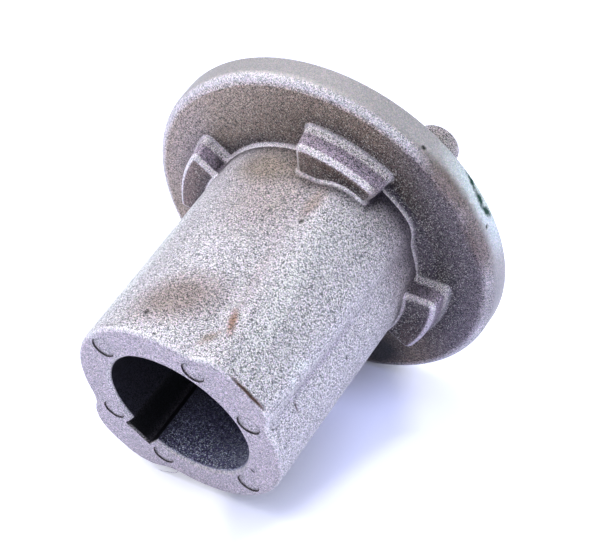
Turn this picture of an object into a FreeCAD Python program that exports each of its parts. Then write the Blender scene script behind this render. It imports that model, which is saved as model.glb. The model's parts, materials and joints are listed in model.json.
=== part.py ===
import FreeCAD, Part
import math
import os
import Sketcher

# A cast adapter that carries a mower blade on a crankshaft. It stands on the end of its tube: the bore runs
# along +Z, the end face lies on z = 0, the flange is at the top and the keyway faces +Y.

# Driving sizes, in millimetres and degrees. A pad rises from the tube, and its crest and foot are widths
# across it. The lugs reach past the higher pad, and their sides point at the bore's axis.
SIZES = {
    "bore_radius": 11.1,
    "bore_chamfer": 0.5,
    "key_width": 4.76,
    "key_floor_radius": 13.4,
    "tube_length": 37.7,
    "tube_end_radius": 16.35,
    "tube_root_radius": 17.4,
    "end_round": 0.7,
    "key_pad_end_rise": 4.15,
    "key_pad_end_crest": 3.4,
    "key_pad_end_foot": 18.5,
    "key_pad_root_rise": 3.5,
    "key_pad_root_crest": 3.6,
    "key_pad_root_foot": 19.8,
    "back_pad_end_rise": 2.35,
    "back_pad_end_crest": 6.6,
    "back_pad_end_foot": 15.2,
    "back_pad_root_rise": 1.9,
    "back_pad_root_crest": 7.6,
    "back_pad_root_foot": 18.8,
    "flange_radius": 29.3,
    "flange_thickness": 4.7,
    "flange_draft": 3.3,
    "rim_front_round": 1.7,
    "rim_back_chamfer": 0.4,
    "lug_count": 4,
    "lug_angle": 67.5,
    "lug_height": 4.4,
    "lug_reach": 1.65,
    "lug_spread": 37.6,
    "lug_draft": 7.0,
    "lug_round": 1.0,
    "root_round": 0.6,
    "nib_count": 2,
    "nib_rim_gap": 1.4,
    "nib_radius": 3.4,
    "nib_height": 3.8,
    "nib_tip_round": 0.8,
    "nib_root_round": 0.5,
    "mark_circle_radius": 13.7,
    "mark_radius": 1.75,
    "mark_depth": 0.2,
    "mark_spread": 21.0,
}

# Words for the points of a sketch: an edge's two ends and its middle, and the sketch's own origin.
START_INDEX, END_INDEX, MIDDLE_INDEX = 1, 2, 3
ORIGIN_INDEX = -1

# Radii from the bore's axis: how far the pads and the lugs come out at the flange, and where the nibs stand.
PAD_RADIUS = "(Sizes.tube_root_radius + max(Sizes.key_pad_root_rise; Sizes.back_pad_root_rise))"
LUG_RADIUS = f"({PAD_RADIUS} + Sizes.lug_reach)"
NIB_CIRCLE = "(Sizes.flange_radius - Sizes.nib_rim_gap - Sizes.nib_radius)"

# Two lengths this close count as the same.
NEAR = 0.01

KEY_SIDE = math.pi / 2
BACK_SIDE = 3 * math.pi / 2


def new_sheet(document):
    """The sheet of driving sizes: one row each, with the size's name and its value."""
    sheet = document.addObject("Spreadsheet::Sheet", "Sizes")
    for row, (name, value) in enumerate(SIZES.items(), start=1):
        sheet.set(f"A{row}", name)
        sheet.set(f"B{row}", str(value))
        sheet.setAlias(f"B{row}", name)
    document.recompute()


def measure(item, formula):
    """The present value of a formula on the sheet."""
    return float(item.evalExpression(formula))


def origin_item(body, role):
    """One of the body's own origin planes or axes, such as XY_Plane or Z_Axis."""
    return next(item for item in body.Origin.OriginFeatures if item.Role == role)


def new_sketch(body, name, height="0"):
    """A level sketch at a height that a formula gives."""
    sketch = body.newObject("Sketcher::SketchObject", name)
    sketch.AttachmentSupport = [(origin_item(body, "XY_Plane"), "")]
    sketch.MapMode = "FlatFace"
    sketch.setExpression("AttachmentOffset.Base.z", height)
    return sketch


def polar(radius, angle):
    """A level point at a radius from the bore's axis and an angle in radians from +X."""
    return FreeCAD.Vector(radius * math.cos(angle), radius * math.sin(angle), 0)


def set_size(sketch, name, kind, where, formula):
    """A dimension of the sketch that follows a formula on the sheet."""
    index = sketch.addConstraint(Sketcher.Constraint(kind, *where, measure(sketch, formula)))
    sketch.renameConstraint(index, name)
    sketch.setExpression(f"Constraints.{name}", formula)


def set_place(sketch, name, edge, point, across=None, along=None):
    """Holds a point at distances from the Y axis (across) and the X axis (along), on its own side of them."""
    drawn = sketch.getPoint(edge, point)
    origin = (ORIGIN_INDEX, START_INDEX)
    for kind, formula, positive in (("DistanceX", across, drawn.x >= 0), ("DistanceY", along, drawn.y >= 0)):
        if formula:
            where = (*origin, edge, point) if positive else (edge, point, *origin)
            set_size(sketch, f"{name}_{kind}", kind, where, formula)


def set_centred(sketch, edge):
    """Holds an arc's or a circle's middle on the bore's axis."""
    sketch.addConstraint(Sketcher.Constraint("Coincident", edge, MIDDLE_INDEX, ORIGIN_INDEX, START_INDEX))


def add_circle(sketch, middle, radius):
    """A circle of the radius that a formula gives."""
    circle = Part.Circle(middle, FreeCAD.Vector(0, 0, 1), measure(sketch, radius))
    edge = sketch.addGeometry(circle, False)
    set_size(sketch, f"radius_{edge}", "Radius", (edge,), radius)
    return edge


def add_arc(sketch, middle, first, last, inward=False):
    """An arc between two points, as its edge and the ends where a walk round the outline enters and leaves.

    The walk goes anticlockwise round the middle, and clockwise on an arc that bends inward.
    """
    begin, finish = (last, first) if inward else (first, last)
    angles = [math.atan2(point.y - middle.y, point.x - middle.x) for point in (begin, finish)]
    if angles[1] < angles[0]:
        angles[1] += 2 * math.pi
    circle = Part.Circle(middle, FreeCAD.Vector(0, 0, 1), (begin - middle).Length)
    edge = sketch.addGeometry(Part.ArcOfCircle(circle, *angles), False)
    return (edge, END_INDEX, START_INDEX) if inward else (edge, START_INDEX, END_INDEX)


def add_line(sketch, first, last):
    """A straight edge between two points, in the same form as an arc."""
    return sketch.addGeometry(Part.LineSegment(first, last), False), START_INDEX, END_INDEX


def join_loop(sketch, loop, kind):
    """Joins a walk's edges end to end into a closed loop: Coincident only meets, Tangent runs on smoothly."""
    for here, following in zip(loop, loop[1:] + loop[:1]):
        sketch.addConstraint(Sketcher.Constraint(kind, here[0], here[2], following[0], following[1]))


def flank_radius(tube, top, turn):
    """Radius of the two equal arcs that lead smoothly from the tube's side to a pad's top over a turn."""
    rise = (top - tube) * (1 + math.cos(turn))
    chord = top ** 2 + tube ** 2 - 2 * top * tube * math.cos(turn)
    fall = 2 * (1 - math.cos(turn))
    return (math.sqrt(rise ** 2 + fall * chord) - rise) / fall


def draw_pad(sketch, pad, stage, facing):
    """A pad's outline as five arcs of a walk: foot, crest, top, crest, foot."""
    tube_radius = f"Sizes.tube_{stage}_radius"
    rise, crest_width, foot_width = [f"Sizes.{pad}_{stage}_{word}" for word in ("rise", "crest", "foot")]
    top_radius = f"({tube_radius} + {rise})"
    tube = measure(sketch, tube_radius)
    top = measure(sketch, top_radius)
    crest_turn = math.asin(measure(sketch, crest_width) / 2 / top)
    foot_turn = math.asin(measure(sketch, foot_width) / 2 / tube)
    bend = flank_radius(tube, top, foot_turn - crest_turn)

    feet = [polar(tube, facing + side * foot_turn) for side in (-1, 1)]
    crests = [polar(top, facing + side * crest_turn) for side in (-1, 1)]
    foot_middles = [polar(tube + bend, facing + side * foot_turn) for side in (-1, 1)]
    crest_middles = [polar(top - bend, facing + side * crest_turn) for side in (-1, 1)]
    waists = [(low + high) / 2 for low, high in zip(foot_middles, crest_middles)]

    rising_foot = add_arc(sketch, foot_middles[0], feet[0], waists[0], inward=True)
    rising_crest = add_arc(sketch, crest_middles[0], waists[0], crests[0])
    flat_top = add_arc(sketch, FreeCAD.Vector(), crests[0], crests[1])
    falling_crest = add_arc(sketch, crest_middles[1], crests[1], waists[1])
    falling_foot = add_arc(sketch, foot_middles[1], waists[1], feet[1], inward=True)

    set_centred(sketch, flat_top[0])
    set_size(sketch, f"{pad}_radius", "Radius", (flat_top[0],), top_radius)
    sketch.addConstraint(Sketcher.Constraint("Equal", rising_foot[0], rising_crest[0]))
    sketch.addConstraint(Sketcher.Constraint("Equal", falling_foot[0], falling_crest[0]))
    set_place(sketch, f"{pad}_first_crest", flat_top[0], flat_top[1], across=f"{crest_width} / 2")
    set_place(sketch, f"{pad}_last_crest", flat_top[0], flat_top[2], across=f"{crest_width} / 2")
    set_place(sketch, f"{pad}_first_foot", rising_foot[0], rising_foot[1], across=f"{foot_width} / 2")
    set_place(sketch, f"{pad}_last_foot", falling_foot[0], falling_foot[2], across=f"{foot_width} / 2")
    return [rising_foot, rising_crest, flat_top, falling_crest, falling_foot], feet


def tube_section(body, name, height, stage):
    """The tube's outline at one height: round sides, with the key pad on +Y and the back pad on -Y."""
    sketch = new_sketch(body, name, height)
    key_pad, key_feet = draw_pad(sketch, "key_pad", stage, KEY_SIDE)
    back_pad, back_feet = draw_pad(sketch, "back_pad", stage, BACK_SIDE)
    left = add_arc(sketch, FreeCAD.Vector(), key_feet[1], back_feet[0])
    right = add_arc(sketch, FreeCAD.Vector(), back_feet[1], key_feet[0])
    join_loop(sketch, key_pad + [left] + back_pad + [right], "Tangent")
    for word, side in (("left", left), ("right", right)):
        set_centred(sketch, side[0])
        set_size(sketch, f"{word}_radius", "Radius", (side[0],), f"Sizes.tube_{stage}_radius")
    return sketch


def halfway(edge):
    """The point half way along an edge."""
    return edge.valueAt((edge.FirstParameter + edge.LastParameter) / 2)


def reach(edge):
    """The edge's greatest distance from the bore's axis, at points along it."""
    steps = 6
    span = edge.LastParameter - edge.FirstParameter
    points = [edge.valueAt(edge.FirstParameter + span * step / steps) for step in range(steps + 1)]
    return max(math.hypot(point.x, point.y) for point in points)


def level(edge, height):
    """Whether an edge lies level at a height."""
    box = edge.BoundBox
    return abs(box.ZMin - height) < NEAR and abs(box.ZMax - height) < NEAR


def upright(edge, low, high):
    """Whether an edge runs from one height to another."""
    box = edge.BoundBox
    return abs(box.ZMin - low) < NEAR and abs(box.ZMax - high) < NEAR


def finish_edges(body, name, kind, property_name, size, wanted):
    """Rounds or chamfers the edges of the body so far that pass a test."""
    base = body.Tip
    edges = [f"Edge{number}" for number, edge in enumerate(base.Shape.Edges, start=1) if wanted(edge)]
    finish = body.newObject(f"PartDesign::{kind}", name)
    finish.Base = (base, edges)
    finish.setExpression(property_name, size)
    body.Document.recompute()


def round_edges(body, name, size, wanted):
    finish_edges(body, name, "Fillet", "Radius", size, wanted)


def pad(body, name, sketch, length, downward=False, draft=None):
    """Raises a sketch into a solid, up or down, with walls that draw in by a draft angle."""
    feature = body.newObject("PartDesign::Pad", name)
    feature.Profile = sketch
    feature.Reversed = downward
    feature.setExpression("Length", length)
    if draft:
        feature.setExpression("TaperAngle", f"-{draft}")
    body.Document.recompute()
    return feature


def pocket(body, name, sketch, depth=None):
    """Cuts a sketch upward into the body, to a depth or right through."""
    feature = body.newObject("PartDesign::Pocket", name)
    feature.Profile = sketch
    feature.Reversed = True
    if depth:
        feature.setExpression("Length", depth)
    else:
        feature.Type = "ThroughAll"
    body.Document.recompute()


def ring(body, name, feature, count):
    """Repeats a feature evenly round the bore's axis."""
    pattern = body.newObject("PartDesign::PolarPattern", name)
    pattern.Originals = [feature]
    pattern.Axis = (origin_item(body, "Z_Axis"), [""])
    pattern.setExpression("Occurrences", count)
    body.Tip = pattern
    body.Document.recompute()


def make_tube(body):
    """The drafted tube, lofted from its end face to the flange."""
    end = tube_section(body, "TubeEnd", "0", "end")
    root = tube_section(body, "TubeRoot", "Sizes.tube_length", "root")
    tube = body.newObject("PartDesign::AdditiveLoft", "Tube")
    tube.Profile = end
    tube.Sections = [root]
    tube.Ruled = True
    body.Document.recompute()


def make_flange(body):
    """The round flange on top of the tube, its rim rounded on the tube's side, and the tube's end edge."""
    outline = new_sketch(body, "FlangeOutline", "Sizes.tube_length + Sizes.flange_thickness")
    set_centred(outline, add_circle(outline, FreeCAD.Vector(), "Sizes.flange_radius"))
    pad(body, "Flange", outline, "Sizes.flange_thickness", downward=True, draft="Sizes.flange_draft")
    front = measure(body, "Sizes.tube_length")
    back = measure(body, "Sizes.tube_length + Sizes.flange_thickness")
    pads = measure(body, PAD_RADIUS)
    round_edges(body, "RimFront", "Sizes.rim_front_round",
                lambda edge: level(edge, front) and reach(edge) > pads + NEAR)
    finish_edges(body, "RimBack", "Chamfer", "Size", "Sizes.rim_back_chamfer", lambda edge: level(edge, back))
    round_edges(body, "EndRound", "Sizes.end_round", lambda edge: level(edge, 0))


def make_lugs(body):
    """Lugs on the flange's tube side that run into the tube, all with rounded edges and roots."""
    tube = body.Document.getObject("Tube")
    outline = new_sketch(body, "LugOutline", "Sizes.tube_length")
    outline.setExpression("AttachmentOffset.Rotation.Angle", "Sizes.lug_angle")
    in_wall = "(Sizes.bore_radius + Sizes.tube_root_radius) / 2"
    outer_radius = measure(body, LUG_RADIUS)
    inner_radius = measure(body, in_wall)
    half_spread = math.radians(measure(body, "Sizes.lug_spread / 2"))
    outer = [polar(outer_radius, side * half_spread) for side in (-1, 1)]
    inner = [polar(inner_radius, side * half_spread) for side in (1, -1)]
    arc = add_arc(outline, FreeCAD.Vector(), *outer)
    lines = [add_line(outline, *ends) for ends in ((outer[1], inner[0]), inner, (inner[1], outer[0]))]
    join_loop(outline, [arc] + lines, "Coincident")
    set_centred(outline, arc[0])
    set_size(outline, "outer_radius", "Radius", (arc[0],), LUG_RADIUS)
    sideways = "sin(Sizes.lug_spread / 2)"
    endways = "cos(Sizes.lug_spread / 2)"
    for word, point in (("first", START_INDEX), ("last", END_INDEX)):
        set_place(outline, f"outer_{word}", arc[0], point, along=f"{LUG_RADIUS} * {sideways}")
        set_place(outline, f"inner_{word}", lines[1][0], point,
                  across=f"{in_wall} * {endways}", along=f"{in_wall} * {sideways}")
    lug = pad(body, "Lug", outline, "Sizes.lug_height", downward=True, draft="Sizes.lug_draft")
    ring(body, "Lugs", lug, "Sizes.lug_count")

    base = measure(body, "Sizes.tube_length")
    face = measure(body, "Sizes.tube_length - Sizes.lug_height")

    def on_tube(edge):
        return tube.Shape.distToShape(Part.Vertex(halfway(edge)))[0] < NEAR

    def on_lug(edge):
        return level(edge, face) or upright(edge, face, base)

    def at_root(edge):
        if level(edge, base):
            return reach(edge) < outer_radius + NEAR
        return on_lug(edge) and on_tube(edge)

    round_edges(body, "LugRounds", "Sizes.lug_round", lambda edge: on_lug(edge) and not on_tube(edge))
    round_edges(body, "RootRounds", "Sizes.root_round", at_root)


def make_nibs(body):
    """Nibs on the blade face, in line with the keyway, that stop the blade turning."""
    outline = new_sketch(body, "NibOutline", "Sizes.tube_length + Sizes.flange_thickness")
    circle = add_circle(outline, FreeCAD.Vector(0, measure(body, NIB_CIRCLE), 0), "Sizes.nib_radius")
    set_place(outline, "nib", circle, MIDDLE_INDEX, across="0", along=NIB_CIRCLE)
    nib = pad(body, "Nib", outline, "Sizes.nib_height")
    ring(body, "Nibs", nib, "Sizes.nib_count")
    root = measure(body, "Sizes.tube_length + Sizes.flange_thickness")
    tip = measure(body, "Sizes.tube_length + Sizes.flange_thickness + Sizes.nib_height")
    rim = measure(body, "Sizes.flange_radius - Sizes.rim_back_chamfer")
    round_edges(body, "NibTips", "Sizes.nib_tip_round", lambda edge: level(edge, tip))
    round_edges(body, "NibRoots", "Sizes.nib_root_round",
                lambda edge: level(edge, root) and reach(edge) < rim - NEAR)


def cut_bore(body):
    """The shaft's bore, chamfered at both mouths, and its keyway."""
    bore = new_sketch(body, "BoreOutline")
    set_centred(bore, add_circle(bore, FreeCAD.Vector(), "Sizes.bore_radius"))
    pocket(body, "Bore", bore)
    radius = measure(body, "Sizes.bore_radius")
    top = measure(body, "Sizes.tube_length + Sizes.flange_thickness")
    finish_edges(body, "BoreMouths", "Chamfer", "Size", "Sizes.bore_chamfer",
                 lambda edge: (level(edge, 0) or level(edge, top)) and abs(reach(edge) - radius) < NEAR)

    keyway = new_sketch(body, "KeywayOutline")
    half_width = measure(body, "Sizes.key_width / 2")
    floor = measure(body, "Sizes.key_floor_radius")
    corners = [FreeCAD.Vector(x, y, 0) for x, y in
               ((-half_width, 0), (half_width, 0), (half_width, floor), (-half_width, floor))]
    lines = [add_line(keyway, *ends) for ends in zip(corners, corners[1:] + corners[:1])]
    join_loop(keyway, lines, "Coincident")
    for number, line in enumerate(lines):
        depth = "0" if number < 2 else "Sizes.key_floor_radius"
        set_place(keyway, f"corner_{number}", line[0], START_INDEX, across="Sizes.key_width / 2", along=depth)
    pocket(body, "Keyway", keyway)


def mark_end(body):
    """Six shallow round marks that the casting's ejector pins leave on the end face."""
    marks = new_sketch(body, "MarkOutline")
    circle_radius = measure(body, "Sizes.mark_circle_radius")
    spread = math.radians(measure(body, "Sizes.mark_spread"))
    sideways = "Sizes.mark_circle_radius * sin(Sizes.mark_spread)"
    endways = "Sizes.mark_circle_radius * cos(Sizes.mark_spread)"
    beside_pads = [facing + side * spread for facing in (KEY_SIDE, BACK_SIDE) for side in (-1, 1)]
    for number, angle in enumerate(beside_pads):
        circle = add_circle(marks, polar(circle_radius, angle), "Sizes.mark_radius")
        set_place(marks, f"beside_pad_{number}", circle, MIDDLE_INDEX, across=sideways, along=endways)
    for number, angle in enumerate((0, math.pi)):
        circle = add_circle(marks, polar(circle_radius, angle), "Sizes.mark_radius")
        set_place(marks, f"at_side_{number}", circle, MIDDLE_INDEX,
                  across="Sizes.mark_circle_radius", along="0")
    pocket(body, "Marks", marks, "Sizes.mark_depth")


def check(document, body):
    """Stops if any object failed or the body isn't one sound solid."""
    failed = [item.Name for item in document.Objects if {"Invalid", "Error"} & set(item.State)]
    if failed:
        raise RuntimeError(f"failed: {failed}")
    if body.Shape.isNull() or not body.Shape.isValid() or len(body.Shape.Solids) != 1:
        raise RuntimeError(f"{body.Label} is not one sound solid")


def main():
    document = FreeCAD.newDocument("BladeAdapter")
    new_sheet(document)
    body = document.addObject("PartDesign::Body", "BladeAdapter")
    body.Label = "blade_adapter"
    make_tube(body)
    make_flange(body)
    make_lugs(body)
    make_nibs(body)
    cut_bore(body)
    mark_end(body)
    document.recompute()
    check(document, body)
    os.makedirs("parts", exist_ok=True)
    body.Shape.exportStep(f"parts/{body.Label}.step")
    print(f"{body.Label}: {body.Shape.Volume:.0f} mm3, {len(body.Shape.Faces)} faces, {body.Shape.BoundBox}")


main()
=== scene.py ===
# %% [markdown]
# # A cast mower blade adapter
# A blade adapter is one piece of cast aluminium. Its tube slides over a mower's crankshaft and its flange
# carries the blade. The shape comes from the CAD model, and this lesson gives it the looks of the real one:
# a grainy shot-blasted skin, the stains of use, a smear of paint and the small flaws that a casting keeps.

# %% Load the frame
import json
import math

import bpy
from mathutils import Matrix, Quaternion, Vector


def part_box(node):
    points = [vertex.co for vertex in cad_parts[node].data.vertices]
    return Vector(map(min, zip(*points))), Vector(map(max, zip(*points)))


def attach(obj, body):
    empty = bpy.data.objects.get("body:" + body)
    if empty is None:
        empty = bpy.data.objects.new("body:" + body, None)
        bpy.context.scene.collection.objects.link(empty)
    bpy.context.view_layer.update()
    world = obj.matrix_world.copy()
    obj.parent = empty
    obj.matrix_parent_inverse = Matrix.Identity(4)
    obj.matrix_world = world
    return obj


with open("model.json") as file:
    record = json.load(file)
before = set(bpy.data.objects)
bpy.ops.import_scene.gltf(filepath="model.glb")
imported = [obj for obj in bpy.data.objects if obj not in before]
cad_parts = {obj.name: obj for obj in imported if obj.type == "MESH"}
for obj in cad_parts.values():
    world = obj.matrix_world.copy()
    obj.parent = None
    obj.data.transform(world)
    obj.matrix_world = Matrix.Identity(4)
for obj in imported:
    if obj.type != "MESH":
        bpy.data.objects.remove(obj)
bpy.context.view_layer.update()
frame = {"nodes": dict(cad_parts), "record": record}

adapter = frame["nodes"]["blade_adapter"]

# %% [markdown]
# ## The sizes that the looks follow
# The adapter stands on the end of its tube, with its bore along +Z. Blender works in metres, so one named
# millimetre keeps the numbers readable. The flange's radius, the bore's radius and the blade face's height
# are read from the frame, because a size that is typed twice is sooner or later wrong once.

# %% Sizes from the frame
MM = 0.001

_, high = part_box("blade_adapter")
mounts = {mount["name"]: mount for mount in frame["record"]["mounts"]}
flange_radius = high.x
blade_face = mounts["blade_face"]["pos_m"][2]
bore_radius = mounts["bore"]["dims"]["r_mm"] * MM
print(f"flange radius {flange_radius / MM:.1f} mm, blade face at {blade_face / MM:.1f} mm")

# %% [markdown]
# ## The camera
# The photograph looks at the end of the tube from the side and a little above, with the flange behind. A
# camera can be turned by hand until the outlines meet, but a place, a point to look at and a roll are
# easier to read and to change later. The lens is as long as the photograph's perspective asks for.

# %% Camera
CAMERA_PLACE = Vector((-32.2, -133.5, -60.34)) * MM
CAMERA_TARGET = Vector((0.65, -3.70, 27.25)) * MM
CAMERA_ROLL = math.radians(37.04)
CAMERA_LENS = 66.74
CAMERA_CLIP = 1 * MM

bpy.ops.object.select_all(action="DESELECT")
bpy.ops.object.camera_add(location=CAMERA_PLACE)
camera = bpy.context.object
sight = CAMERA_TARGET - CAMERA_PLACE
camera.rotation_mode = "QUATERNION"
camera.rotation_quaternion = sight.to_track_quat("-Z", "Y") @ Quaternion((0, 0, 1), CAMERA_ROLL)
camera.data.lens = CAMERA_LENS
camera.data.clip_start = CAMERA_CLIP
bpy.context.scene.camera = camera
print(f"camera {sight.length / MM:.0f} mm from its target")

# %% [markdown]
# ## The floor
# In the photograph the adapter lies on its side, on the flange's rim and on a burr that holds the tube's
# end a little off the floor. The part keeps its own upright frame, so the floor comes to it: a plane that
# touches both, on the side where the adapter lies. It meets the rim where the rim's flat ends and its round
# begins.

# %% Floor
REST_SIDE = math.radians(40.8)
BURR_RADIUS = 17.6 * MM
RIM_WIDTH = 3.0 * MM
FLOOR_SIZE = 2.4

outward = Vector((math.cos(REST_SIDE), math.sin(REST_SIDE), 0))
tube_touch = outward * BURR_RADIUS
rim_touch = outward * flange_radius + Vector((0, 0, blade_face - RIM_WIDTH))
along = (rim_touch - tube_touch).normalized()
across = Vector((0, 0, 1)).cross(outward)
floor_up = along.cross(across).normalized()

bpy.ops.object.select_all(action="DESELECT")
bpy.ops.mesh.primitive_plane_add(size=FLOOR_SIZE, location=(tube_touch + rim_touch) / 2)
floor = bpy.context.object
floor.name = "floor"
floor.rotation_mode = "QUATERNION"
floor.rotation_quaternion = floor_up.to_track_quat("Z", "Y")
print("floor faces", [round(part, 3) for part in floor_up])

# %% [markdown]
# ## Right and back on the floor
# The light and the floor's shading are easiest to place as the photograph shows them: so far to the right
# and so far to the back. Laying the camera's own right flat on the floor gives the one direction, and a
# turn by a quarter gives the other.

# %% Right and back
camera_right = camera.rotation_quaternion @ Vector((1, 0, 0))
level_right = (camera_right - floor_up * camera_right.dot(floor_up)).normalized()
level_back = floor_up.cross(level_right)
print("right on the floor:", [round(part, 3) for part in level_right])

# %% [markdown]
# ## Two small helpers for materials
# Every material below is a tree of shader nodes. One helper adds a node and fills its inputs: a socket is
# linked, any other value is typed in. Another starts a new material with an empty tree. With these two, the
# code of a material reads in the order in which the nodes would be laid out by hand.

# %% Node helpers
def put(tree, kind, *inputs, **settings):
    """Adds a shader node, sets its options, and fills its inputs in order. None leaves an input as it is."""
    made = tree.nodes.new("ShaderNode" + kind)
    for name, value in settings.items():
        setattr(made, name, value)
    for socket, value in zip(made.inputs, inputs):
        if isinstance(value, bpy.types.NodeSocket):
            tree.links.new(value, socket)
        elif value is not None:
            socket.default_value = value
    return made


def new_material(name):
    """A material with an empty node tree, and its output node."""
    material = bpy.data.materials.new(name)
    material.use_nodes = True
    tree = material.node_tree
    tree.nodes.clear()
    return material, tree, tree.nodes.new("ShaderNodeOutputMaterial")


print("helpers: put, new_material")

# %% [markdown]
# ## Masks
# A mask is a number from 0 to 1 that says how much of a colour goes where. A Map Range node turns a
# distance or a direction into one, and a Math node joins two of them. By hand that is a lot of boxes and
# wires, so each kind gets a short name here. They all work in the tree of the material that is being made
# at the time.

# %% Mask helpers
def ramp(value, start, stop, first, last):
    """A number that goes straight from first to last as the value goes from start to stop."""
    return put(tree, "MapRange", value, start, stop, first, last).outputs[0]


def swing(mask, none, full):
    """A number that goes from none to full as the mask goes from 0 to 1."""
    return ramp(mask, 0.0, 1.0, none, full)


def fade(value, none, full):
    """A mask that rises smoothly from 0 where the value is none to 1 where it is full."""
    return put(tree, "MapRange", value, none, full, 0.0, 1.0, interpolation_type="SMOOTHSTEP").outputs[0]


def both(first, second):
    """The mask where two masks meet, or a mask made weaker by a number."""
    return put(tree, "Math", first, second, operation="MULTIPLY").outputs[0]


def either(first, second):
    """The stronger of two masks."""
    return put(tree, "Math", first, second, operation="MAXIMUM").outputs[0]


def between(value, start, full_from, full_to, end):
    """A mask that rises from start to full_from, stays, and falls from full_to to end."""
    return both(fade(value, start, full_from), fade(value, end, full_to))


print("masks: ramp, swing, fade, both, either, between")

# %% [markdown]
# ## The white floor
# The photograph's floor is so bright that only the shadow shows on it. More light would wash out the
# adapter too, so the floor gets a faint glow that only the camera and reflections see: lit paper turns
# white, and a bluish shadow stays. An Ambient Occlusion node takes the glow away where the adapter touches
# the floor, which keeps that line dark.

# %% Floor glow
FLOOR_COLOUR = (0.85, 0.85, 0.85, 1)
FLOOR_GLOW = (0.30, 0.34, 0.66, 1)
CONTACT_REACH = 12 * MM
CONTACT_SAMPLES = 8
CONTACT_OPENNESS = (0.25, 0.85)
CONTACT_GLOW = 0.05

floor_paint, tree, output = new_material("white_floor")
matte = put(tree, "BsdfDiffuse", FLOOR_COLOUR)
rays = put(tree, "LightPath").outputs
seen = either(either(rays["Is Camera Ray"], rays["Is Glossy Ray"]), rays["Is Transmission Ray"])
uncovered = put(tree, "AmbientOcclusion", None, CONTACT_REACH, samples=CONTACT_SAMPLES).outputs["AO"]
glow_share = ramp(uncovered, *CONTACT_OPENNESS, CONTACT_GLOW, 1.0)
glow = put(tree, "Emission", FLOOR_GLOW, both(seen, glow_share))
lit = put(tree, "AddShader", matte.outputs[0], glow.outputs[0])
print("floor glows:", FLOOR_GLOW)

# %% [markdown]
# ## Where the floor turns plain white
# Beyond the band of shadow along the tube, the photograph fades to plain white, so a second glow starts
# there, for the camera alone. A brighter lamp behind would do it too, but it would also light the adapter.
# Each white side is a distance along the floor, which a Dot Product gives. From behind, the floor is clear,
# so that the part can be seen from below.

# %% Floor whitening
FLOOR_WHITENING = (0.27, 0.27, 0.27, 1)
# Each white side: how far it leans right and back, and from where to where it turns white, in millimetres.
WHITE_SIDES = (((1, -1), 14.5, 19.5), ((-1, 0), 6.5, 11.0), ((1, 0), 16.0, 23.0))

floor_place = put(tree, "TexCoord").outputs["Object"]
unturn = floor.rotation_quaternion.inverted()
white = 0.0
for (right, back), none, full in WHITE_SIDES:
    aim = unturn @ (level_right * right + level_back * back).normalized()
    distance = put(tree, "VectorMath", floor_place, aim, operation="DOT_PRODUCT").outputs["Value"]
    white = either(white, fade(distance, none * MM, full * MM))
whitening = put(tree, "Emission", FLOOR_WHITENING, both(white, rays["Is Camera Ray"]))
lit = put(tree, "AddShader", lit.outputs[0], whitening.outputs[0])

clear = put(tree, "BsdfTransparent")
behind = put(tree, "NewGeometry").outputs["Backfacing"]
sheet = put(tree, "MixShader", behind, lit.outputs[0], clear.outputs[0])
tree.links.new(sheet.outputs[0], output.inputs["Surface"])
floor.data.materials.append(floor_paint)
print("floor paint:", floor_paint.name)

# %% [markdown]
# ## The light
# The real light is a bright room: much of it comes from everywhere, more from the left and from overhead,
# and some cooler light from the right. The world's bluish background is the room. Area lamps would do for
# the rest, but a sun with a wide angle is as soft, lights the whole floor evenly and needs no distance.

# %% Lights
ROOM_COLOUR = (0.90, 0.94, 1.0, 1)
ROOM_STRENGTH = 0.66
# Each sun: strength, width in degrees, colour, and how far its direction leans right and back from upright.
SUNS = {
    "overhead_light": (0.6, 45, (1.0, 0.98, 0.96), -0.2, 0.0),
    "left_light": (1.2, 45, (1.0, 1.0, 0.99), -1.1, 0.15),
    "right_light": (0.42, 50, (0.80, 0.91, 1.0), 2.6, 0.5),
}

scene = bpy.context.scene
scene.view_settings.view_transform = "Standard"
world = bpy.data.worlds.new("studio")
scene.world = world
world.use_nodes = True
background = world.node_tree.nodes["Background"]
background.inputs["Color"].default_value = ROOM_COLOUR
background.inputs["Strength"].default_value = ROOM_STRENGTH

for name, (strength, width, tone, right, back) in SUNS.items():
    direction = floor_up + level_right * right + level_back * back
    bpy.ops.object.select_all(action="DESELECT")
    bpy.ops.object.light_add(type="SUN")
    sun = bpy.context.object
    sun.name = name
    sun.data.energy = strength
    sun.data.angle = math.radians(width)
    sun.data.color = tone
    sun.rotation_mode = "QUATERNION"
    sun.rotation_quaternion = direction.to_track_quat("Z", "Y")
print("suns:", list(SUNS))

# %% [markdown]
# ## Where things are on the casting
# Most of the casting's looks depend on the place: the rim is smooth, the bore is dark, the end of the tube
# is darker. Object coordinates give each point's place in metres, so a radius from the bore's axis, a
# height and the way that the surface faces are enough to tell the rim from the tube.

# %% Places
casting, tree, output = new_material("shot_blasted_casting")
coordinates = put(tree, "TexCoord").outputs
place = coordinates["Object"]
side, _, height = put(tree, "SeparateXYZ", place).outputs
spoke = put(tree, "VectorMath", place, (1, 1, 0), operation="MULTIPLY").outputs[0]
radius = put(tree, "VectorMath", spoke, operation="LENGTH").outputs["Value"]
_, side_facing, facing = put(tree, "SeparateXYZ", coordinates["Normal"]).outputs
print("places: radius, height, side, facing")

# %% [markdown]
# ## The surfaces by name
# The rim, the end of the tube, the four lugs and the flange's front face each get a mask. Painting them by
# hand with a vertex colour would work too, but masks made from sizes follow the shape when it changes. How
# a surface faces is its normal's height: -1 looks the way that the tube's end does, and 0 looks sideways.
# Two numbers say where a mask begins and where it is full, and two more say where it falls again.

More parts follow.
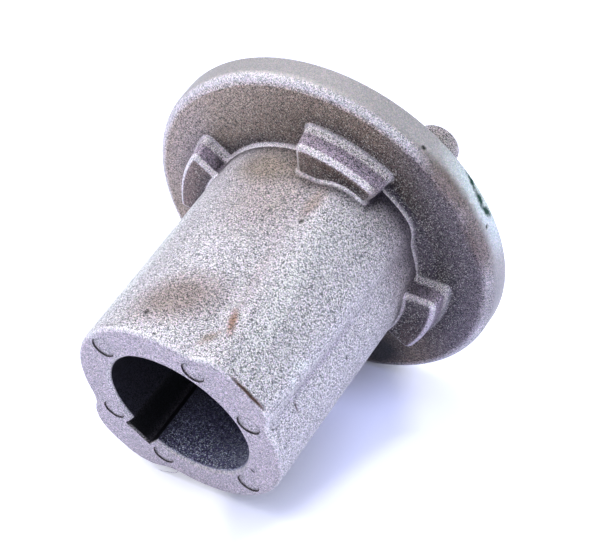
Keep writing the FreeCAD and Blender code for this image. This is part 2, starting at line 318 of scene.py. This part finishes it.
# %% Surfaces
FLANGE_THICKNESS = 4.7 * MM
LUG_HEIGHT = 4.4 * MM
TUBE_ROOT_RADIUS = 17.4 * MM
RIM_FACING = (-0.6, -0.3)
END_HEIGHTS = (0.35 * MM, 0.1 * MM)
END_FACING = (-0.6, -0.9)
LUG_FACING = (-0.07, -0.10)
FLANGE_FACING = (-0.85, -0.985)

flange_front = blade_face - FLANGE_THICKNESS
lug_top = flange_front - LUG_HEIGHT
rim_radii = (flange_radius - 0.9 * MM, flange_radius - 0.4 * MM)
lug_heights = (lug_top - 0.5 * MM, lug_top - 0.1 * MM, flange_front - 0.5 * MM, flange_front - 0.1 * MM)
flange_heights = (lug_top - 0.8 * MM, lug_top - 0.3 * MM)
flange_radii = (TUBE_ROOT_RADIUS, TUBE_ROOT_RADIUS + 0.6 * MM)

on_rim = both(fade(radius, *rim_radii), fade(facing, *RIM_FACING))
on_end = both(fade(height, *END_HEIGHTS), fade(facing, *END_FACING))
on_lug = both(between(height, *lug_heights), fade(facing, *LUG_FACING))
on_flange = both(fade(height, *flange_heights), fade(facing, *FLANGE_FACING))
on_flange = both(on_flange, fade(radius, *flange_radii))
print("surfaces: rim, end, lugs, flange")

# %% [markdown]
# ## The bore, the keyway and the edges
# The bore and its keyway are known by their radius. Edges have no place of their own that is easy to name,
# so they are found by the way that they face: only a round between two faces looks halfway. Wear could also
# be painted on by hand, but then it would stay behind when an edge moves.

# %% Bore and edges
KEYWAY_DEPTH = 2.3 * MM
EDGE_FACING = (-0.13, -0.32, -0.88, -0.99)
RIM_EDGE_FACING = (-0.35, -0.75, -0.985, -0.9985)

key_floor = bore_radius + KEYWAY_DEPTH
bore_radii = (key_floor + 0.3 * MM, key_floor)
bore_heights = (0.25 * MM, 0.6 * MM, blade_face - 0.5 * MM, blade_face)
keyway_radii = (bore_radius + 0.15 * MM, bore_radius + 0.5 * MM)
rim_edge_radii = (flange_radius - 3.3 * MM, flange_radius - 2.3 * MM)

in_bore = both(fade(radius, *bore_radii), between(height, *bore_heights))
in_keyway = both(in_bore, fade(radius, *keyway_radii))
near_rim = fade(radius, *rim_edge_radii)
on_edge = between(facing, *EDGE_FACING)
on_rim_edge = both(between(facing, *RIM_EDGE_FACING), near_rim)
print("found: bore, keyway, edges, rim's edge")

# %% [markdown]
# ## The casting's grain
# Blasting with steel shot leaves a skin of tiny dents, each about an eighth of a millimetre across. Every
# dent tips its own way, so in the light it is a field of pale and dark specks, each with a touch of another
# colour from the room. An image could show that, but a Voronoi texture needs none: each of its cells gets a
# random colour, which is one dent. The rim was cast against a smooth wall of the mould and shows far less
# of it.

# %% Grain
DENT_SIZE = 0.115 * MM
DENT_CONTRAST = 1.0
RIM_CONTRAST = 0.22
EDGE_SMOOTHNESS = 0.5
END_SMOOTHNESS = 0.4
GLINTING_DENTS = (0.72, 0.95)

dents = put(tree, "TexVoronoi", place, None, 1 / DENT_SIZE)
dent_shade, dent_glint, _ = put(tree, "SeparateColor", dents.outputs["Color"]).outputs
glint = fade(dent_glint, *GLINTING_DENTS)
smooth = either(both(on_edge, EDGE_SMOOTHNESS), on_rim)
smooth = either(both(on_end, END_SMOOTHNESS), smooth)
contrast = swing(smooth, DENT_CONTRAST, RIM_CONTRAST)
dark_to_pale = swing(dent_shade, -1.0, 1.0)
grain = put(tree, "Math", dark_to_pale, contrast, 1.0, operation="MULTIPLY_ADD").outputs[0]
print(f"grain of {DENT_SIZE / MM:.3f} mm")

# %% [markdown]
# ## Where the casting is sheltered
# Grime stays where nothing rubs, and shade falls in the same places: on the flange beside the tube, under
# the lugs and in their corners, so these places get grime and painted shade. The Ambient Occlusion node
# asks how open the space around a point is, so it finds those places from the shape itself: once with a
# long reach for broad shelter and once with a short one for nooks, which get painted shade. It looks at
# this object only, because the floor is no part of the casting.

# %% Shelter
SHELTER_REACH = 22 * MM
NOOK_REACH = 3 * MM
SHELTER_SAMPLES = 6
SHELTER_OPENNESS = (0.60, 0.97)
NOOK_OPENNESS = (0.68, 0.94)
NOOK_STRENGTH = 0.9


def openness(reach):
    """How open the space within reach is, from 0 in a hole to 1 on a plain."""
    return put(tree, "AmbientOcclusion", None, reach, samples=SHELTER_SAMPLES, only_local=True).outputs["AO"]


# Broad shelter carries grime and painted shade, and the nooks carry painted shade.
shelter = ramp(openness(SHELTER_REACH), *SHELTER_OPENNESS, 1.0, 0.0)
nook = ramp(openness(NOOK_REACH), *NOOK_OPENNESS, NOOK_STRENGTH, 0.0)
print(f"shelter within {SHELTER_REACH / MM:.0f} mm, nooks within {NOOK_REACH / MM:.0f} mm")

# %% [markdown]
# ## The dirty and shaded side
# One side of the flange lay lower in use and is dirtier than the other. It is also the side in shade, so
# its darkening is grime and painted shade together. A Dot Product with a direction tells how far a point
# lies to that side, which is all that a mask needs. Faces that look towards the tube's end keep the grime
# and the painted shade, and upright walls keep little of it.

# %% Dirty and shaded side
DIRT_AND_SHADE_SIDE = (0.64, -0.77, 0)
DIRT_AND_SHADE_FROM = (-16 * MM, 20 * MM)
VIOLET_SHADE_FROM = (13 * MM, 23 * MM)
FRONT_FACING = (-0.3, -0.8)
WALL_SHELTER = 0.2
SIDE_SHELTER = (0.72, 1.22)

# The dirty side is also the side in shade, so masks made from it carry grime and painted shade.
side_lean = put(tree, "VectorMath", spoke, DIRT_AND_SHADE_SIDE, operation="DOT_PRODUCT").outputs["Value"]
dirt_and_shade_side = fade(side_lean, *DIRT_AND_SHADE_FROM)
violet_shade_side = fade(side_lean, *VIOLET_SHADE_FROM)
shelter = both(shelter, swing(fade(facing, *FRONT_FACING), WALL_SHELTER, 1.0))
shelter = both(shelter, swing(dirt_and_shade_side, *SIDE_SHELTER))
print("dirty side:", DIRT_AND_SHADE_SIDE)

# %% [markdown]
# ## The bare skin
# Bare blasted aluminium is a pale grey with a touch of violet. The sawn-looking end of the tube, the rim
# and the lugs' walls each have a colour of their own, and the darker colours of the end and of the lugs'
# walls are partly painted shade. A colour is laid over the ones before it through its mask, the way that
# the real layers lie, so a small helper does just that.

# %% Bare skin
# A Mix node has sockets for numbers, vectors and colours. These are the places of the colours among them.
MIX_UNDER, MIX_OVER, MIX_RESULT = 6, 7, 2


def lay(under, over, mask):
    """Lays a colour over another through a mask."""
    mix = put(tree, "Mix", mask, data_type="RGBA")
    for number, value in ((MIX_UNDER, under), (MIX_OVER, over)):
        if isinstance(value, bpy.types.NodeSocket):
            tree.links.new(value, mix.inputs[number])
        else:
            mix.inputs[number].default_value = (*value, 1)
    return mix.outputs[MIX_RESULT]


CLEAN = (0.60, 0.58, 0.645)
END = (0.505, 0.465, 0.535)
RIM = (0.49, 0.465, 0.485)
LUG = (0.42, 0.365, 0.48)

# The darker colours of the end and of the lugs' walls are partly painted shade.
colour = lay(CLEAN, END, on_end)
colour = lay(colour, RIM, on_rim)
colour = lay(colour, LUG, on_lug)
print("skin: clean, end, rim, lug")

# %% [markdown]
# ## Grime and painted shade
# Old grass juice and dust have baked onto the flange. It is brown on most of it; on the dirtiest side, which
# is also in shade, it is darker and almost violet, and that is painted shade. A film of dirt lets the metal
# through, so it multiplies the colour under it; thick grime and the near-black painted shade in the nooks
# hide the metal, so they are laid over it.

# %% Grime and painted shade
BROWN_SHADED_GRIME = (0.085, 0.062, 0.048)
VIOLET_SHADED_GRIME = (0.05, 0.04, 0.05)
BROWN_FILM = (0.81, 0.71, 0.56)
DARK_SHADED_FILM = (0.56, 0.465, 0.36)
VIOLET_SHADED_FILM = (0.46, 0.42, 0.46)
NOOK_SHADE = (0.035, 0.026, 0.035)

# Grime and painted shade where the casting is sheltered, violet where the side is in shade.
colour = lay(colour, lay(BROWN_SHADED_GRIME, VIOLET_SHADED_GRIME, violet_shade_side), shelter)
# A brown film of grime, darker and violet as painted shade on the shaded side.
film = lay(lay(BROWN_FILM, DARK_SHADED_FILM, dirt_and_shade_side), VIOLET_SHADED_FILM, violet_shade_side)
filmed = put(tree, "VectorMath", colour, film, operation="MULTIPLY").outputs[0]
colour = lay(colour, filmed, on_flange)
# Painted shade in the nooks.
colour = lay(colour, NOOK_SHADE, nook)
print("grime: brown, violet, film, soot")

# %% [markdown]
# ## Painted shade at the tube's root
# On the dirty and shaded side, painted shade lies where the tube meets the flange, on both sides of the
# line itself, which stays bare. The nooks above are too small to find it, so it gets a mask of its own,
# from the height and the radius of the root. A few dents get a painted glint through the grime all the same.

# %% Root shade
ROOT_SHADE = (0.04, 0.032, 0.055)
ROOT_SHADE_STRENGTH = 0.85
ROOT_LINE_FACING = (-0.35, -0.55, -0.75, -0.9)
SHADED_ROOT_PART = (0.6, 0.9)
GLINT = (0.86, 0.82, 0.86)
GLINT_STRENGTH = 0.45

wall_heights = (flange_front - 5 * MM, flange_front - 0.8 * MM)
face_heights = (flange_front + 0.3 * MM, flange_front + 1.7 * MM)
wall_radii = (key_floor + 0.7 * MM, key_floor + 1.7 * MM)
face_radii = (TUBE_ROOT_RADIUS + 2.9 * MM, TUBE_ROOT_RADIUS + 3.3 * MM)

near_root = both(between(height, *wall_heights, *face_heights), between(radius, *wall_radii, *face_radii))
beside_line = swing(between(facing, *ROOT_LINE_FACING), 1.0, 0.0)
near_root = both(both(near_root, beside_line), fade(dirt_and_shade_side, *SHADED_ROOT_PART))
# Painted shade beside the tube's root.
colour = lay(colour, ROOT_SHADE, both(near_root, ROOT_SHADE_STRENGTH))
# Painted glints on a few sheltered dents.
colour = lay(colour, GLINT, both(both(glint, shelter), GLINT_STRENGTH))
print("root: soot, glints")

# %% [markdown]
# ## Which parts of a lug are bright
# The lugs stand out most, so their crests and their feet are rubbed bright and carry painted highlights
# too. The dirty lug, on the shaded side, is the exception: little but what faces upward in the photograph
# is bright on it, which is a painted highlight where the light falls. One helper turns the three
# strengths, for a clean lug and for the shaded one's walls and top, into a number that swings with the
# masks.

# %% Rubbed lugs
FOOT_FACING = (-0.97, -0.85)
LUG_TOP_FACING = (-0.35, -0.6)
DIRTY_SHADED_LUG = (0.85, 1.0)

crest_heights = (lug_top + 2.9 * MM, lug_top + 1.9 * MM)
foot_heights = (flange_front - 1.8 * MM, flange_front - 1.1 * MM)
lug_crest = both(on_lug, fade(height, *crest_heights))
lug_foot = both(both(on_lug, fade(height, *foot_heights)), fade(facing, *FOOT_FACING))
# Painted highlight on the side of a lug that faces upward, where the light falls.
lug_top_in_light = fade(side_facing, *LUG_TOP_FACING)
dirty_shaded_lug = fade(dirt_and_shade_side, *DIRTY_SHADED_LUG)


def on_lugs(clean, shaded_wall, lit_top):
    """A strength for a clean lug, the shaded lug's walls and its top in the light."""
    return swing(dirty_shaded_lug, clean, swing(lug_top_in_light, shaded_wall, lit_top))


print("lugs: crests, feet")

# %% [markdown]
# ## Rubbed and highlighted edges
# Hands, blades and other parts in a box rub the edges bright: the rounds of the lugs, the line where the
# tube meets the flange and the front of the rim, which carry painted highlights as well. The upper edge of
# the tube's end gets a painted highlight alone. The brightness is weak at the root on the shaded side. On
# the lugs a few dents get a painted sparkle.

# %% Rubbed and highlighted edges
RUB_AND_HIGHLIGHT = (0.86, 0.81, 0.90)
SPARKLE = (1.0, 0.94, 1.0)
UPPER_SIDE = (-8 * MM, 4 * MM)
ABOVE_END = (2 * MM, 5 * MM)
END_HIGHLIGHT = 0.6
ROOT_PART = (0.3, 0.8)
ROOT_RUB_AND_HIGHLIGHT = (0.5, 0.05)
RIM_RUB_AND_HIGHLIGHT = (0.4, 0.25)
CREST_RUB_AND_HIGHLIGHT = (0.8, 0.4, 0.8)
FOOT_RUB_AND_HIGHLIGHT = (0.85, 0.2, 0.8)
SPARKLE_RUB = (0.9, 0.1, 0.9)

upper_side = put(tree, "VectorMath", spoke, -outward, operation="DOT_PRODUCT").outputs["Value"]
# Painted highlight on the upper edge of the tube's end.
end_highlight = swing(fade(upper_side, *UPPER_SIDE), 0.0, END_HIGHLIGHT)
end_or_root = swing(fade(height, *ABOVE_END), end_highlight, ramp(dirt_and_shade_side, *ROOT_PART, *ROOT_RUB_AND_HIGHLIGHT))
edge_rub_and_highlight = swing(near_rim, swing(lug_crest, end_or_root, on_lugs(*CREST_RUB_AND_HIGHLIGHT)), 0.0)
lug_rub_and_highlight = either(lug_foot, both(on_edge, lug_crest))

# Rub and painted highlights on the edges and the rim's front, and a painted sparkle on the lugs.
colour = lay(colour, RUB_AND_HIGHLIGHT, both(on_edge, edge_rub_and_highlight))
colour = lay(colour, RUB_AND_HIGHLIGHT, both(on_rim_edge, swing(dirt_and_shade_side, *RIM_RUB_AND_HIGHLIGHT)))
colour = lay(colour, RUB_AND_HIGHLIGHT, both(lug_foot, on_lugs(*FOOT_RUB_AND_HIGHLIGHT)))
colour = lay(colour, SPARKLE, both(both(glint, lug_rub_and_highlight), on_lugs(*SPARKLE_RUB)))
print("rubbed: edges, rim, lugs")

# %% [markdown]
# ## The dark bore
# The bore is painted nearly black, as painted shade. Where light from the open end reaches its wall, the
# wall shines bluish and its dents sparkle. A glossy coat would need that light to be just right, so the
# sheen and the sparkle are painted on as a colour. The keyway, which no light reaches, is painted the
# darkest of all, as painted shade.

# %% Bore
BORE_SHADE = (0.03, 0.03, 0.045)
BORE_SHEEN = (0.105, 0.10, 0.21)
BORE_SHEEN_GLINT = (0.72, 0.76, 1.0)
KEYWAY_SHADE = (0.008, 0.008, 0.012)
SHEEN_SIDE = (0.0, 7 * MM)
SHEEN_HEIGHTS = (17 * MM, 2 * MM)
SHEEN_DENTS = (0.62, 0.92)
LIP_HEIGHTS = (9 * MM, 2 * MM)
DEEP_GLINT = 0.5

# Painted shade: the bore is painted nearly black.
colour = lay(colour, BORE_SHADE, in_bore)
bore_sheen = both(both(in_bore, fade(side, *SHEEN_SIDE)), fade(height, *SHEEN_HEIGHTS))
# Painted sheen and sparkle where light reaches the bore's wall.
colour = lay(colour, BORE_SHEEN, bore_sheen)
bore_glint = both(fade(dent_glint, *SHEEN_DENTS), swing(fade(height, *LIP_HEIGHTS), DEEP_GLINT, 1.0))
colour = lay(colour, BORE_SHEEN_GLINT, both(bore_glint, bore_sheen))
# Painted shade: the keyway is painted the darkest.
colour = lay(colour, KEYWAY_SHADE, in_keyway)
print("bore: oil, sheen, keyway")

# %% [markdown]
# ## Stains and specks
# The used casting has rust, brown patches, black specks and a few pale nicks, and some patches are painted
# light and shade. Each is an ellipsoid of colour that a Mapping node centres and turns on the surface. On
# its own it would look like a stamp, so the place is first shaken by a noise texture, which frays every
# edge: much for a patch, little for a thin line.

# %% Stain helper
FRAY_SCALE = 1400.0
FRAY_DETAIL = 2.0
STAIN_FRAY = 0.9 * MM
LINE_FRAY = 0.15 * MM
STAIN_CORE = 0.35
NOISE_MIDDLE = (0.5, 0.5, 0.5)
# A stain this thin is a line: half its width, in millimetres as in the tables.
LINE_HALF_WIDTH = 0.4

fray = put(tree, "TexNoise", place, None, FRAY_SCALE, FRAY_DETAIL).outputs["Color"]
fray = put(tree, "VectorMath", fray, NOISE_MIDDLE, operation="SUBTRACT").outputs[0]
shaken = put(tree, "VectorMath", fray, (STAIN_FRAY,) * 3, place, operation="MULTIPLY_ADD").outputs[0]
steady = put(tree, "VectorMath", fray, (LINE_FRAY,) * 3, place, operation="MULTIPLY_ADD").outputs[0]


def stain(under, paint, strength, middle, direction, half_length, half_width):
    """Lays an ellipsoid of colour over what is there. Its middle and its sizes are in millimetres."""
    turn = Vector(direction).to_track_quat("X", "Z").to_euler()
    reach = Vector((half_length, half_width, half_width)) * MM
    spot = steady if half_width < LINE_HALF_WIDTH else shaken
    local = put(tree, "Mapping", spot, Vector(middle) * MM, turn, reach, vector_type="TEXTURE").outputs[0]
    distance = put(tree, "VectorMath", local, operation="LENGTH").outputs["Value"]
    return lay(under, paint, ramp(distance, 1.0, STAIN_CORE, 0.0, strength))


def stain_all(under, stains):
    """Lays a table of stains, in the table's order."""
    for row in stains.values():
        under = stain(under, *row)
    return under


print(f"stains fray by {STAIN_FRAY / MM:.1f} mm, lines by {LINE_FRAY / MM:.2f} mm")

# %% [markdown]
# ## Broad patches
# First come the broad ones: a painted sheen on the rim and on the tube's left, a painted highlight along the
# pad's ridge and on its top, painted shade along the pad's two creases and on the tube's right by the
# flange, the brown haze where the tube meets the flange, a brown band on the edge of the rim, a dark place
# at the top lug's end, painted shade below the tube, on the low rim and in the hollow beside the top lug,
# and painted light on the flange's left.

# %% Broad patches
# Each patch: colour, strength, middle, direction, half its length and half its width, in millimetres.
PATCHES = {
    # Painted sheen on the rim and on the tube's left.
    "rim_sheen": ((0.76, 0.85, 0.91), 0.8, (9.0, -27.9, 41.4), (0.95, 0.31, 0), 15.0, 2.9),
    "left_sheen": ((0.84, 0.91, 0.93), 0.5, (-16.7, -0.6, 13.0), (-0.03, 0, 1), 19.0, 3.0),
    "tube_haze": ((0.36, 0.30, 0.28), 0.5, (-12.0, -12.0, 30.0), (0, 0, 1), 13.0, 8.5),
    # Painted shade on the tube's right by the flange.
    "right_painted_shade": ((0.36, 0.32, 0.38), 0.45, (9.5, -15.0, 34.0), (0.7, 0.7, 0.0), 11.0, 5.5),
    "root_stain": ((0.27, 0.22, 0.16), 0.6, (-14.3, -9.5, 33.0), (0.5, -0.8, 0), 7.0, 4.5),
    # Painted highlight along the pad's ridge.
    "ridge_highlight": ((0.88, 0.87, 0.92), 0.55, (-3.0, -18.4, 13.5), (0.121, -0.05, -1), 15.0, 2.2),
    # Painted shade along the pad's two creases.
    "left_crease_shade": ((0.42, 0.38, 0.42), 0.45, (-7.0, -16.4, 14.0), (2.4, -1.8, -22), 14.0, 1.5),
    "right_crease_shade": ((0.36, 0.34, 0.42), 0.6, (7.25, -15.35, 12.5), (0.04, -0.02, 1), 14.0, 0.8),
    "brown_patch": ((0.23, 0.175, 0.15), 0.7, (-12.2, -11.0, 7.2), (0.52, -0.62, 0.58), 8.6, 5.2),
    "lug_stain": ((0.30, 0.22, 0.17), 0.55, (-7.0, -16.7, 29.0), (0, 0, 1), 4.0, 1.6),
    "rim_band_1": ((0.18, 0.135, 0.12), 0.85, (3.4, -28.3, 38.2), (1.0, 0.12, 0), 8.5, 1.9),
    "rim_band_2": ((0.18, 0.14, 0.135), 0.85, (12.6, -25.4, 38.0), (0.9, 0.45, 0), 9.0, 2.1),
    # Painted shade below the tube.
    "low_shade": ((0.012, 0.014, 0.02), 0.92, (22.8, 10.0, 37.7), (0.1, 1, 0), 8.0, 5.0),
    "lug_end": ((0.25, 0.21, 0.22), 0.8, (-2.2, -21.0, 33.9), (0, 1, 0.1), 3.4, 1.4),
    # Painted shade in the hollow beside the top lug.
    "lug_hollow_shade": ((0.02, 0.015, 0.03), 0.95, (-1.2, -19.9, 35.6), (0.35, -0.7, 3.0), 3.8, 1.4),
    # Painted light on the flange's left.
    "left_flange_light": ((0.48, 0.43, 0.47), 0.35, (-22.8, 8.0, 37.7), (0.34, 0.94, 0), 15.0, 5.0),
    # Painted shade on the low rim.
    "low_rim_shade": ((0.30, 0.28, 0.31), 0.6, (22.6, -18.2, 39.0), (0.64, 0.77, 0), 9.0, 3.2),
    # Painted highlight on the ridge's top.
    "ridge_top_highlight": ((0.80, 0.79, 0.87), 0.4, (-3.3, -18.8, 26.0), (0, 0, 1), 8.0, 4.0),
    "nib_dirt": ((0.24, 0.20, 0.17), 0.5, (-0.5, -27.6, 44.6), (1, 0, 0), 5.0, 3.0),
}
colour = stain_all(colour, PATCHES)
print("patches:", list(PATCHES))

# %% [markdown]
# ## Small marks
# Then the small ones lie on top: a streak of rust with its tail, black specks, pale nicks, a crack and the
# thin brown line on the pad's end. Their order in the table is the order in which they are laid.

# %% Small marks
MARKS = {
    "smear_1": ((0.90, 0.94, 1.0), 0.5, (4.5, -18.0, 8.6), (0.5, 0.3, 0.8), 2.2, 1.1),
    "smear_2": ((0.90, 0.94, 1.0), 0.5, (4.6, -17.9, 6.2), (0.9, 0.5, -0.2), 1.8, 0.8),
    "rust": ((0.27, 0.14, 0.08), 0.8, (-5.9, -17.0, 6.8), (0.27, -0.32, -0.91), 2.9, 0.9),
    "rust_tail": ((0.26, 0.21, 0.17), 0.7, (-6.6, -15.6, 3.8), (-0.3, 0.5, -0.8), 2.2, 0.9),
    "end_line": ((0.09, 0.05, 0.04), 1.0, (0.9, -18.45, 0.27), (1, 0.05, 0), 5.5, 0.39),
    "end_speck": ((0.02, 0.02, 0.02), 0.9, (-13.65, -9.16, 3.63), (0, 0, 1), 0.7, 0.6),
    "tube_speck": ((0.03, 0.03, 0.03), 0.9, (-6.84, -16.71, 25.43), (0, 0, 1), 0.6, 0.5),
    "rim_speck_1": ((0.02, 0.02, 0.02), 0.95, (-2.51, -28.98, 39.18), (0, 0, 1), 0.45, 0.45),
    "rim_speck_2": ((0.02, 0.02, 0.02), 0.95, (12.08, -26.54, 40.02), (0, 0, 1), 0.45, 0.45),
    "face_speck": ((0.02, 0.02, 0.02), 0.95, (11.89, -3.93, 0.0), (1, 0, 0), 0.45, 0.45),
    "nick_1": ((0.95, 0.95, 1.0), 0.8, (10.88, -13.04, 23.29), (0, 0.6, 0.8), 1.1, 0.5),
    "nick_2": ((0.95, 0.95, 1.0), 0.8, (6.05, -16.93, 11.27), (0, 0.6, 0.8), 1.0, 0.5),
    "crack": ((0.08, 0.05, 0.06), 0.9, (8.2, -14.3, 5.85), (1.84, 1.18, -0.31), 1.4, 0.22),
    "tick": ((0.08, 0.07, 0.10), 0.9, (10.7, -13.0, 17.45), (0.85, 0.7, -0.12), 0.8, 0.25),
}
colour = stain_all(colour, MARKS)
print("marks:", list(MARKS))

# %% [markdown]
# ## A smear of paint
# The rim brushed against fresh green paint. It left a pale film on the back edge and a dark ragged line
# where the paint gathered. It is too thin to have a shape of its own, so it is three more stains over a
# pale one.

# %% Paint
PAINT_FILM = (0.66, 0.76, 0.72)
PAINT_LINE = (0.002, 0.05, 0.03)

PAINT = {
    "film": (PAINT_FILM, 0.9, (8.6, -27.95, 42.2), (0.959, 0.284, 0), 4.2, 0.9),
    "line_start": (PAINT_LINE, 1.0, (5.7, -28.68, 41.66), (3.01, 0.59, -0.56), 2.1, 0.42),
    "line_middle": (PAINT_LINE, 1.0, (8.4, -28.02, 41.2), (2.39, 0.72, -0.36), 2.0, 0.62),
    "line_end": (PAINT_LINE, 1.0, (10.5, -27.3, 41.25), (1.62, 0.62, 0.36), 1.6, 0.62),
}
colour = stain_all(colour, PAINT)
print("paint:", list(PAINT))

# %% [markdown]
# ## The finished metal
# The grain scales and tints the colour, and the same dents tilt the surface a little through a Bump node,
# so that they still sparkle when the light moves. Blasted aluminium under a film of oxide scatters the
# light almost as paper does, so it is half metallic and quite rough; the rim and the oily bore are
# smoother, grime is no metal.

# %% Finished metal
DENT_DEPTH = 0.03 * MM
DENT_STRENGTH = 0.6
DENT_TINT = 0.2
BARE_METALLIC = 0.5
GRIMY_METALLIC = 0.15
SKIN_ROUGHNESS = 0.57
RIM_ROUGHNESS = 0.45
OIL_ROUGHNESS = 0.42

tint_share = (DENT_TINT,) * 3
plain_share = (1 - DENT_TINT / 2,) * 3
tint = put(tree, "VectorMath", dents.outputs["Color"], tint_share, plain_share, operation="MULTIPLY_ADD")
colour = put(tree, "VectorMath", colour, tint.outputs[0], operation="MULTIPLY").outputs[0]
colour = put(tree, "VectorMath", colour, None, None, grain, operation="SCALE").outputs[0]
bump = put(tree, "Bump", DENT_STRENGTH, DENT_DEPTH, None, dents.outputs["Distance"])
metallic = swing(shelter, BARE_METALLIC, GRIMY_METALLIC)
roughness = swing(in_bore, swing(on_rim, SKIN_ROUGHNESS, RIM_ROUGHNESS), OIL_ROUGHNESS)
metal = put(tree, "BsdfPrincipled", colour, metallic, roughness)
tree.links.new(bump.outputs[0], metal.inputs["Normal"])
tree.links.new(metal.outputs[0], output.inputs["Surface"])
adapter.data.materials.clear()
adapter.data.materials.append(casting)
print("casting:", len(tree.nodes), "nodes")

# %% [markdown]
# ## A burr of flash
# Where the two halves of a mould meet, a little metal seeps out, and the trimming tool has left one thin
# sliver of it on the end of the tube. A curve with a bevel could make it, but drawing it out of a tiny cube
# is closer to how it came about. The cube sits in the tube's edge, and its face on the far side is
# selected.

# %% Burr
BURR_WIDTH = 0.17 * MM
BURR_HEIGHT = 0.11 * MM
BURR_PATH = ((8.4, 13.8), (8.6, 14.5), (8.5, 15.3), (8.2, 16.2), (7.85, 17.0), (7.5, 17.75), (7.1, 18.5))
SQUARE_ON = 0.9

path = [Vector((x * MM, y * MM, BURR_HEIGHT)) for x, y in BURR_PATH]
bpy.ops.object.select_all(action="DESELECT")
bpy.ops.mesh.primitive_cube_add(size=BURR_WIDTH, location=path[0])
burr = bpy.context.object
burr.name = "flash_burr"
bpy.ops.object.transform_apply(location=True, rotation=True, scale=True)
for face in burr.data.polygons:
    face.select = face.normal.y > SQUARE_ON
for edge in burr.data.edges:
    edge.select = False
for corner in burr.data.vertices:
    corner.select = corner.co.y > path[0].y
print(f"burr starts as a cube of {BURR_WIDTH / MM:.2f} mm")

# %% [markdown]
# ## Drawing out the burr
# The selected face is extruded from point to point along the sliver, a bit smaller each time, as the metal
# thinned out on its way. Afterwards all normals are turned outward, because a row of extrusions doesn't
# always leave them so.

# %% Draw out burr
BURR_TAPER = 0.87

ahead = Vector((0, BURR_WIDTH / 2, 0))
bpy.ops.object.mode_set(mode="EDIT")
bpy.ops.mesh.select_mode(type="FACE")
for start, stop in zip(path, path[1:]):
    bpy.ops.mesh.extrude_region_move(TRANSFORM_OT_translate={"value": stop - start})
    bpy.ops.transform.resize(value=(BURR_TAPER,) * 3, center_override=stop + ahead)
bpy.ops.mesh.select_all(action="SELECT")
bpy.ops.mesh.normals_make_consistent(inside=False)
bpy.ops.object.mode_set(mode="OBJECT")
print(f"burr {len(burr.data.polygons)} faces, {burr.dimensions.y / MM:.1f} mm long")

# %% [markdown]
# ## Rounding the burr
# A Subdivision Surface modifier rounds the square sliver, and applying it makes the rounding real. The burr
# is the same metal as the casting, so it takes the same material, and it rides on the adapter that it grew
# on.

# %% Round burr
rounding = burr.modifiers.new("rounding", "SUBSURF")
rounding.levels = rounding.render_levels = 1
bpy.ops.object.modifier_apply(modifier=rounding.name)
bpy.ops.object.shade_smooth()
burr.data.materials.append(casting)
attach(burr, "root")
print("burr:", len(burr.data.polygons), "faces")
